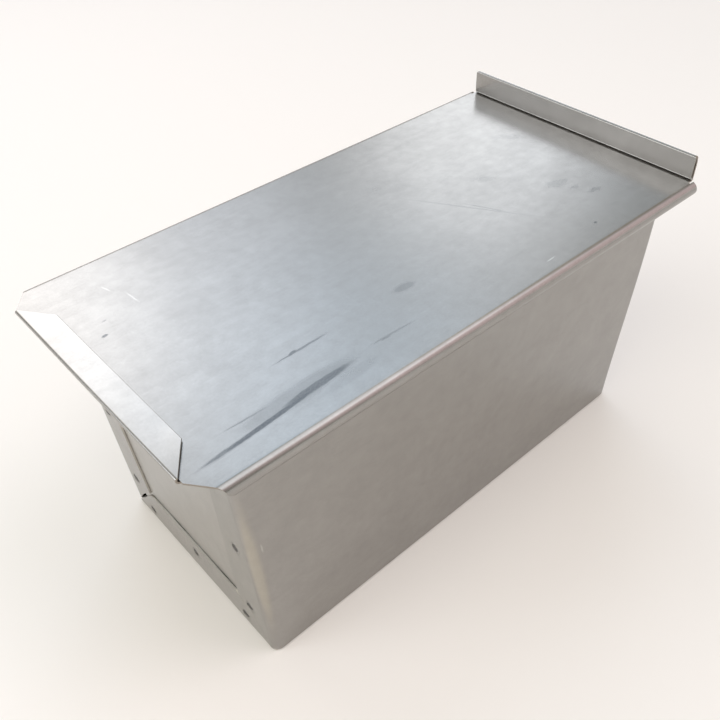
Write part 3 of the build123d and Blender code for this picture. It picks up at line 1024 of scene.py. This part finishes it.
def set_up_studio(finish):
    mesh = bmesh.new()
    bmesh.ops.create_grid(mesh, x_segments=1, y_segments=1, size=FLOOR_SIZE / 2)
    material, tree, shader = new_material("studio_floor")
    feed(tree, shader, {"Base Color": rgba(finish.floor), "Roughness": FLOOR_ROUGHNESS,
                        "Specular IOR Level": FLOOR_GLOSS})
    new_object("studio_floor", mesh, [material])
    light_sky()
    hang_lamps()
    data = bpy.data.cameras.new("studio_camera")
    data.lens = LENS
    turn = (AIM - EYE).to_track_quat("-Z", "Y") @ Quaternion((0, 0, 1), math.radians(ROLL))
    scene = bpy.context.scene
    scene.camera = set_in_place(data, EYE, turn)
    scene.view_settings.view_transform = "Standard"


class LOAF_PAN_OT_trough(bpy.types.Operator):
    """Folds the trough: floor, long walls, rails and end tabs in one sheet"""

    bl_idname = "loaf_pan.trough"
    bl_label = "Fold Trough"

    def execute(self, context):
        form, finish = PanForm(context.scene), context.scene.pan_finish
        sheet = rolled_sheet("trough", finish, finish.sheet_light, finish.sheet_dark,
                             scratches=WALL_SCRATCHES, shine=FOLD_HIGHLIGHTS,
                             level=-form.half_width(WALL_MARK_HEIGHT), stand=True)
        # The trough's cut edges carry a painted highlight.
        piece = fold_trough(form, (sheet, cut_edge("trough", finish.highlit_cut_edge)))
        open_for_welds(piece, form, (-1, 1))
        hand_over(piece, "pan", "trough_sheet", "folded_trough")
        return {"FINISHED"}


class LOAF_PAN_OT_end_panels(bpy.types.Operator):
    """Folds the near end panel with its lip and the far end panel with its hemmed rim"""

    bl_idname = "loaf_pan.end_panels"
    bl_label = "Fold End Panels"

    def execute(self, context):
        form, finish = PanForm(context.scene), context.scene.pan_finish
        # The lighter copy of the sheet is painted light that brightens the end walls.
        sheet = (rolled_sheet("panel", finish, finish.brightened_panel_light, finish.brightened_panel_dark),
                 cut_edge("panel", finish.cut_edge))
        near = fold_end_panel("near_end_panel_sheet", form, -1, lip_rim, lip_spring, sheet)
        far = fold_end_panel("far_end_panel_sheet", form, 1, far_rim, pan_bend, sheet)
        for piece, end, node in ((near, -1, "near_end_panel"), (far, 1, "far_end_panel")):
            open_for_welds(piece, form, (end,))
            hand_over(piece, "pan", "panel_sheet", node)
        return {"FINISHED"}


class LOAF_PAN_OT_spot_welds(bpy.types.Operator):
    """Adds the dented marks of the spot welds that hold the end panels"""

    bl_idname = "loaf_pan.spot_welds"
    bl_label = "Add Spot Welds"

    def execute(self, context):
        form, finish = PanForm(context.scene), context.scene.pan_finish
        marked = (weld_finish(finish),
                  rolled_sheet("ring", finish, finish.sheet_light, finish.sheet_dark))
        for end, node in ((-1, "near_end_spot_welds"), (1, "far_end_spot_welds")):
            piece = weld_marks(node.replace("spot_welds", "weld_marks"), form, end, marked)
            hand_over(piece, "pan", "weld_nugget", node)
        return {"FINISHED"}


class LOAF_PAN_OT_lid(bpy.types.Operator):
    """Folds the sliding lid with its rolled edges and pull strip"""

    bl_idname = "loaf_pan.lid"
    bl_label = "Fold Lid"

    def execute(self, context):
        form, finish = PanForm(context.scene), context.scene.pan_finish
        sheet = rolled_sheet("lid", finish, finish.sheet_light, finish.sheet_dark, RUBBED_MARKS,
                             RUBBED_PATCHES, LID_SCRATCHES, level=form.lid_top)
        piece = fold_lid(form, (sheet, cut_edge("lid", finish.cut_edge)))
        hand_over(piece, "lid", "lid_sheet", "sliding_lid")
        return {"FINISHED"}


class LOAF_PAN_OT_studio(bpy.types.Operator):
    """Sets up the pale floor, the soft sky and the camera"""

    bl_idname = "loaf_pan.studio"
    bl_label = "Set Up Studio"

    def execute(self, context):
        set_up_studio(context.scene.pan_finish)
        return {"FINISHED"}


class LOAF_PAN_PT_pieces(bpy.types.Panel):
    """Lists the operators that build the pan"""

    bl_label = "Loaf Pan"
    bl_space_type = "VIEW_3D"
    bl_region_type = "UI"
    bl_category = "Loaf Pan"

    def draw(self, context):
        for operator in OPERATORS:
            self.layout.operator(operator.bl_idname)


PROPERTIES = {
    "pan_sizes": PanSizes,
    "lid_sizes": LidSizes,
    "weld_sizes": WeldSizes,
    "pan_finish": PanFinish,
}
OPERATORS = (
    LOAF_PAN_OT_trough,
    LOAF_PAN_OT_end_panels,
    LOAF_PAN_OT_spot_welds,
    LOAF_PAN_OT_lid,
    LOAF_PAN_OT_studio,
)
CLASSES = (*PROPERTIES.values(), *OPERATORS, LOAF_PAN_PT_pieces)


def register():
    for kind in CLASSES:
        bpy.utils.register_class(kind)
    for name, group in PROPERTIES.items():
        setattr(bpy.types.Scene, name, PointerProperty(type=group))


def unregister():
    for name in PROPERTIES:
        delattr(bpy.types.Scene, name)
    for kind in reversed(CLASSES):
        bpy.utils.unregister_class(kind)


def main():
    register()
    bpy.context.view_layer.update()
    bpy.ops.loaf_pan.trough()
    bpy.ops.loaf_pan.end_panels()
    bpy.ops.loaf_pan.spot_welds()
    bpy.ops.loaf_pan.lid()
    bpy.ops.loaf_pan.studio()


if __name__ == "__main__":
    main()
